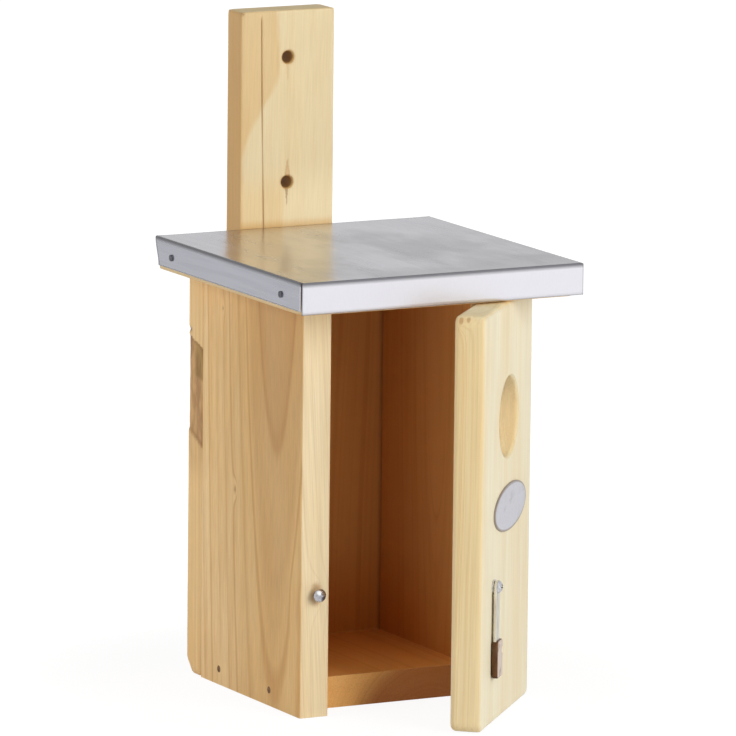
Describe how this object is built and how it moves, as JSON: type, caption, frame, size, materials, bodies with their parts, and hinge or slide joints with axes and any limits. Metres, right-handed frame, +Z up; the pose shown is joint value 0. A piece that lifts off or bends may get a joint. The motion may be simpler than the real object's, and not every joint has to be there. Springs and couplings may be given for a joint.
{
  "type": "bird nest box",
  "caption": "Wooden nest box with a side-hung front door, round entrance hole, swinging latch, flat sheet-metal roof and a hanging batten behind.",
  "frame": {"origin": "middle of the box's footprint, walls and back panel included, on the bottom plane", "axes": "+Z up along the hanging batten, +Y towards the wall or tree the box hangs on, +X to the right seen from the front"},
  "size_m": [0.1976, 0.2667, 0.421],
  "materials": {
    "pine": "planed, untreated, satin",
    "pine_pale": "planed, untreated, satin",
    "roof_sheet": "bright, smooth sheet with faint rolling marks",
    "plate": "satin",
    "zinc_plated": "bright zinc plate",
    "steel": "dull steel",
    "grip": "dark brown, moulded, glossy"
  },
  "bodies": {
    "box": {"left_wall": "pine", "right_wall": "pine", "back_panel": "pine", "floor_board": "pine", "roof_board": "pine", "roof_cover": "roof_sheet", "hanging_batten": "pine_pale", "catch_screw": "zinc_plated", "upper_hinge_wall_leaf": "zinc_plated", "lower_hinge_wall_leaf": "zinc_plated", "upper_hinge_pin": "steel", "lower_hinge_pin": "steel", "hinge_wall_screws": "zinc_plated", "cover_nails": "steel", "roof_board_nails": "steel", "back_panel_nails": "steel", "floor_nails": "steel", "batten_screws_group": "zinc_plated"},
    "door": {"door_board": "pine_pale", "oval_plate": "plate", "latch_washer": "zinc_plated", "latch_pivot_screw": "zinc_plated", "upper_hinge_door_leaf": "zinc_plated", "lower_hinge_door_leaf": "zinc_plated", "hinge_door_screws": "zinc_plated"},
    "latch": {"latch_arm": "zinc_plated", "latch_grip": "grip"}
  },
  "joints": [
    {"name": "door_hinge", "type": "hinge", "parent": "box", "child": "door", "pos_m": [0.07705, -0.0595, 0], "axis": [0, 0, -1], "range_deg": [-122, 48]},
    {"name": "latch_pivot", "type": "hinge", "parent": "door", "child": "latch", "pos_m": [0.02497, -0.14723, 0.088], "axis": [-0.7431, 0.6691, 0], "range_deg": [-90, 87.3]}
  ]
}
